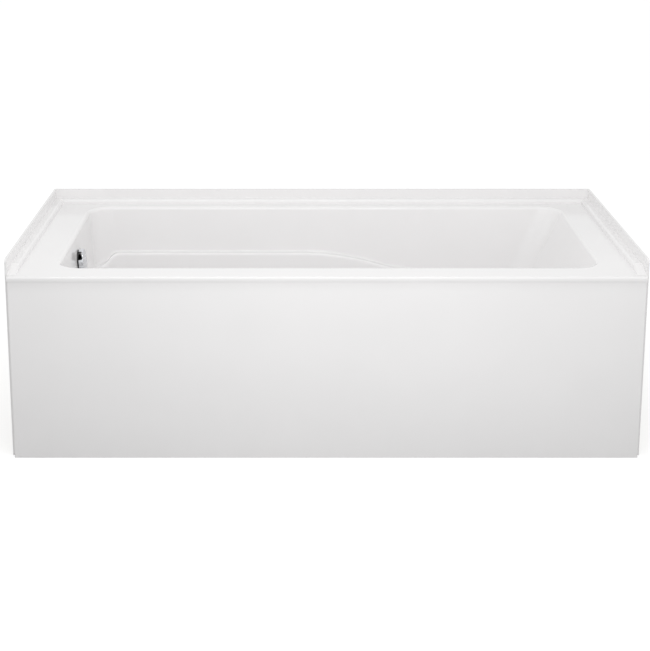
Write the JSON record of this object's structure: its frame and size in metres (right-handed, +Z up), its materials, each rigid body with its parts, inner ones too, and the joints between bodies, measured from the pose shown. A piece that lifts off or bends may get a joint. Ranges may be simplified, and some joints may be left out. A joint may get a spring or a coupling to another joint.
{
  "type": "alcove bathtub",
  "caption": "Low rectangular alcove bath with a flat front apron, tile flanges on three sides, armrest ledges and a pop-up waste at its left end.",
  "frame": {"origin": "on the floor, under the middle of the footprint", "axes": "+X along the bath from the drain end to the backrest end, +Y from the apron to the back wall, +Z up"},
  "size_m": [1.524, 0.762, 0.495],
  "materials": {
    "white_acrylic": "gloss",
    "fibreglass": "rough laminate",
    "timber": "sawn",
    "plywood": "sanded",
    "chrome": "polished",
    "brass": "turned",
    "rubber": "matt",
    "pipe_plastic": "satin",
    "fitting_plastic": "moulded",
    "nut_plastic": "moulded",
    "cable_sheath": "extruded"
  },
  "bodies": {
    "bath": {"tub_shell": "white_acrylic", "fibreglass_backing": "fibreglass", "front_apron": "white_acrylic", "apron_backing": "fibreglass", "top_rail": "timber", "bottom_rail": "timber", "apron_stud_1": "timber", "apron_stud_2": "timber", "apron_stud_3": "timber", "apron_stud_4": "timber", "back_rail": "timber", "drain_end_rail": "timber", "rest_end_rail": "timber", "base_board": "plywood", "bearer_drain_end": "timber", "bearer_middle": "timber", "bearer_rest_end": "timber", "overflow_gasket": "rubber", "overflow_elbow": "fitting_plastic", "overflow_hub": "fitting_plastic", "shoe_gasket": "rubber", "drain_shoe": "fitting_plastic", "drain_flange": "chrome", "waste_tee": "fitting_plastic", "overflow_pipe": "pipe_plastic", "drain_pipe": "pipe_plastic", "tailpiece": "pipe_plastic", "elbow_nut": "nut_plastic", "tee_top_nut": "nut_plastic", "tee_side_nut": "nut_plastic", "shoe_nut": "nut_plastic", "tailpiece_nut": "nut_plastic", "slip_washers": "rubber", "overflow_gland": "brass", "shoe_gland": "brass", "control_cable": "cable_sheath"},
    "knob": {"overflow_knob": "chrome", "knob_screw": "chrome", "overflow_spindle": "brass", "cable_drum": "nut_plastic"},
    "stopper": {"drain_stopper": "chrome", "stopper_seal": "rubber", "lift_pin": "brass", "cable_plunger": "brass"}
  },
  "joints": [
    {"name": "knob_turn", "type": "hinge", "parent": "bath", "child": "knob", "pos_m": [-0.64153, 0.0085, 0.383], "axis": [0.9962, 0, 0.0872], "range_deg": [0, 90]},
    {"name": "stopper_lift", "type": "slide", "parent": "bath", "child": "stopper", "axis": [0, 0, 1], "range_m": [0, 0.0121]}
  ],
  "couplings": [
    {"joint": "stopper_lift", "follows": "knob_turn", "m_per_rad": 0.0076394}
  ]
}
